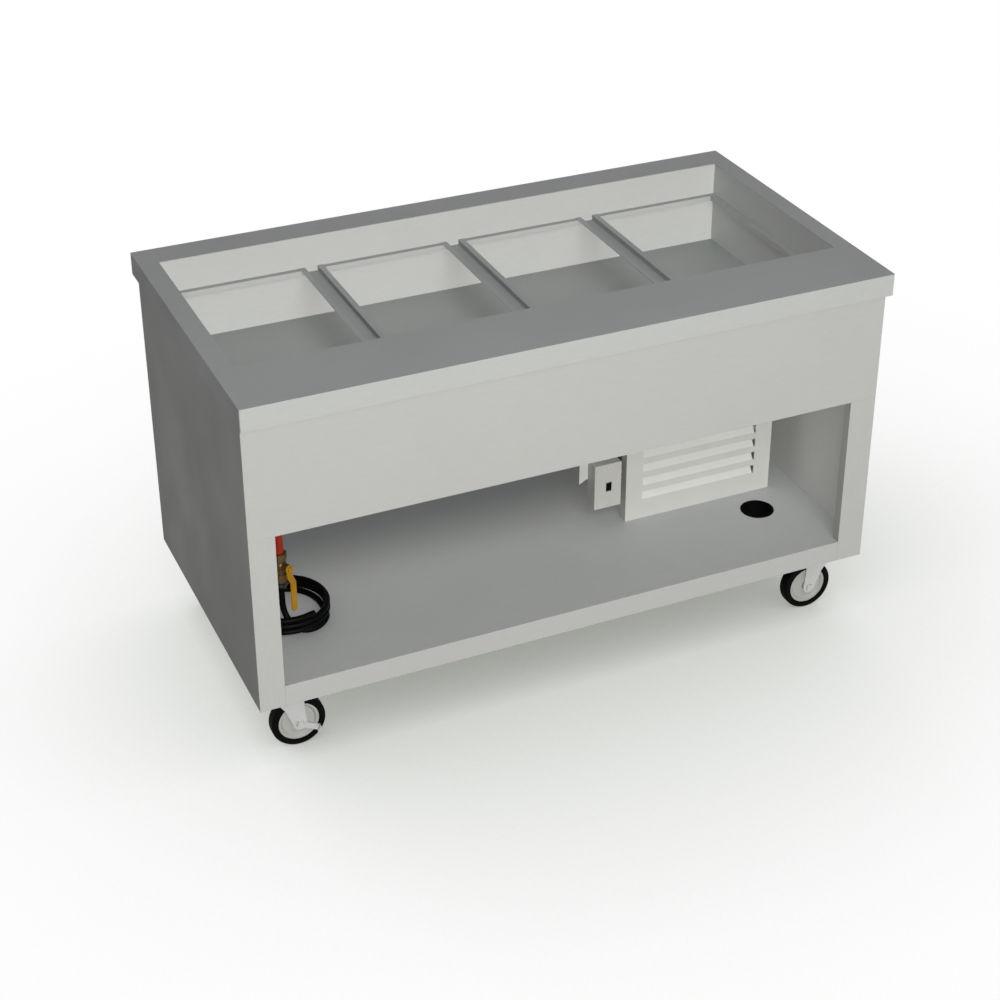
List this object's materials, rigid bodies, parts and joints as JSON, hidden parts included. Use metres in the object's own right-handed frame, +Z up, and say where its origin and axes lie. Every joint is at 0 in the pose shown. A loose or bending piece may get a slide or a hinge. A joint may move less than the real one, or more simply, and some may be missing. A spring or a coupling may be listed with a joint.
{
  "type": "mobile salad bar",
  "caption": "Caster-mounted steel salad bar counter with a sunken pan well, lift-out adapter bars, open storage bay, drain with coiled hose and a louvred cooling unit.",
  "frame": {"origin": "on the floor, at the middle of the counter top's rectangle", "axes": "+X right along the front, -Y towards the open storage bay's side, +Z up"},
  "size_m": [1.524, 0.813, 0.899],
  "materials": {
    "top_steel": "satin",
    "well_steel": "satin",
    "body_steel": "satin",
    "panel_steel": "satin",
    "zinc_steel": "zinc plated",
    "foam": "matte",
    "sleeve_rubber": "matte",
    "switch_bezel": "satin",
    "black_plastic": "satin",
    "black_paint": "satin",
    "fin_aluminium": "satin",
    "copper": "satin",
    "red_paint": "satin",
    "valve_brass": "cast",
    "yellow_grip": "satin",
    "hose_rubber": "satin",
    "hub_plastic": "satin",
    "tyre_rubber": "matte"
  },
  "bodies": {
    "cabinet": {"counter_top": "top_steel", "well_liner": "well_steel", "pan_ledge": "top_steel", "foam_insulation": "foam", "insulation_jacket": "zinc_steel", "side_panel_left": "body_steel", "side_panel_right": "body_steel", "back_panel": "body_steel", "side_skin_left": "body_steel", "side_skin_right": "body_steel", "back_skin": "body_steel", "front_apron": "body_steel", "stile_left": "body_steel", "stile_right": "body_steel", "bottom_shelf": "body_steel", "shelf_channels": "zinc_steel", "shelf_grommet": "sleeve_rubber", "louvre_panel": "panel_steel", "switch_box": "panel_steel", "switch_cover": "panel_steel", "switch_bracket": "panel_steel", "rocker_frame": "switch_bezel", "cord_gland": "black_plastic", "unit_base": "zinc_steel", "compressor": "black_paint", "condenser": "fin_aluminium", "fan_shroud": "black_paint", "fan_motor": "black_paint", "refrigerant_lines": "copper", "filter_drier": "copper", "drain_strainer": "well_steel", "drain_pipe": "red_paint", "valve_body": "valve_brass", "hose_barb": "valve_brass", "drain_hose": "hose_rubber", "drain_hose_coil": "hose_rubber", "caster_plates": "zinc_steel", "caster_bolts": "zinc_steel"},
    "bar_1": {"adapter_bar_1": "top_steel"},
    "bar_2": {"adapter_bar_2": "top_steel"},
    "bar_3": {"adapter_bar_3": "top_steel"},
    "caster_front_left": {"fork_front_left": "zinc_steel"},
    "wheel_front_left": {"wheel_front_left": "hub_plastic", "tyre_front_left": "tyre_rubber"},
    "caster_front_right": {"fork_front_right": "zinc_steel"},
    "wheel_front_right": {"wheel_front_right": "hub_plastic", "tyre_front_right": "tyre_rubber"},
    "caster_back_left": {"fork_back_left": "zinc_steel"},
    "wheel_back_left": {"wheel_back_left": "hub_plastic", "tyre_back_left": "tyre_rubber"},
    "caster_back_right": {"fork_back_right": "zinc_steel"},
    "wheel_back_right": {"wheel_back_right": "hub_plastic", "tyre_back_right": "tyre_rubber"},
    "brake_front": {"brake_pedal_front": "zinc_steel"},
    "brake_back": {"brake_pedal_back": "zinc_steel"},
    "valve_handle": {"valve_stem": "zinc_steel", "valve_lever": "yellow_grip"},
    "rocker": {"rocker_button": "black_plastic"},
    "fan": {"fan_blades": "fin_aluminium"}
  },
  "joints": [
    {"name": "bar_1_lift", "type": "slide", "parent": "cabinet", "child": "bar_1", "axis": [0, 0, 1], "range_m": [0, 0.12]},
    {"name": "bar_2_lift", "type": "slide", "parent": "cabinet", "child": "bar_2", "axis": [0, 0, 1], "range_m": [0, 0.12]},
    {"name": "bar_3_lift", "type": "slide", "parent": "cabinet", "child": "bar_3", "axis": [0, 0, 1], "range_m": [0, 0.12]},
    {"name": "swivel_front_left", "type": "hinge", "parent": "cabinet", "child": "caster_front_left", "pos_m": [-0.698, -0.3305, 0.147], "axis": [0, 0, 1], "continuous": true},
    {"name": "roll_front_left", "type": "hinge", "parent": "caster_front_left", "child": "wheel_front_left", "pos_m": [-0.66, -0.3305, 0.0625], "axis": [0, 1, 0], "continuous": true},
    {"name": "swivel_front_right", "type": "hinge", "parent": "cabinet", "child": "caster_front_right", "pos_m": [0.68, -0.3305, 0.147], "axis": [0, 0, 1], "continuous": true},
    {"name": "roll_front_right", "type": "hinge", "parent": "caster_front_right", "child": "wheel_front_right", "pos_m": [0.642, -0.3305, 0.0625], "axis": [0, 1, 0], "continuous": true},
    {"name": "swivel_back_left", "type": "hinge", "parent": "cabinet", "child": "caster_back_left", "pos_m": [-0.698, 0.2775, 0.147], "axis": [0, 0, 1], "continuous": true},
    {"name": "roll_back_left", "type": "hinge", "parent": "caster_back_left", "child": "wheel_back_left", "pos_m": [-0.66, 0.2775, 0.0625], "axis": [0, 1, 0], "continuous": true},
    {"name": "swivel_back_right", "type": "hinge", "parent": "cabinet", "child": "caster_back_right", "pos_m": [0.68, 0.2775, 0.147], "axis": [0, 0, 1], "continuous": true},
    {"name": "roll_back_right", "type": "hinge", "parent": "caster_back_right", "child": "wheel_back_right", "pos_m": [0.642, 0.2775, 0.0625], "axis": [0, 1, 0], "continuous": true},
    {"name": "brake_front_press", "type": "hinge", "parent": "caster_front_left", "child": "brake_front", "pos_m": [-0.66, -0.3305, 0.0625], "axis": [0, 1, 0], "range_deg": [0, 18]},
    {"name": "brake_back_press", "type": "hinge", "parent": "caster_back_right", "child": "brake_back", "pos_m": [0.642, 0.2775, 0.0625], "axis": [0, -1, 0], "range_deg": [0, 18]},
    {"name": "valve_turn", "type": "hinge", "parent": "cabinet", "child": "valve_handle", "pos_m": [-0.639, -0.205, 0.386], "axis": [0.4226, -0.9063, 0], "range_deg": [0, 90]},
    {"name": "rocker_press", "type": "hinge", "parent": "cabinet", "child": "rocker", "pos_m": [0.211, -0.1095, 0.322], "axis": [1, 0, 0], "range_deg": [-14, 0]},
    {"name": "fan_spin", "type": "hinge", "parent": "cabinet", "child": "fan", "pos_m": [0.549, -0.0535, 0.351], "axis": [0, 1, 0], "continuous": true}
  ]
}
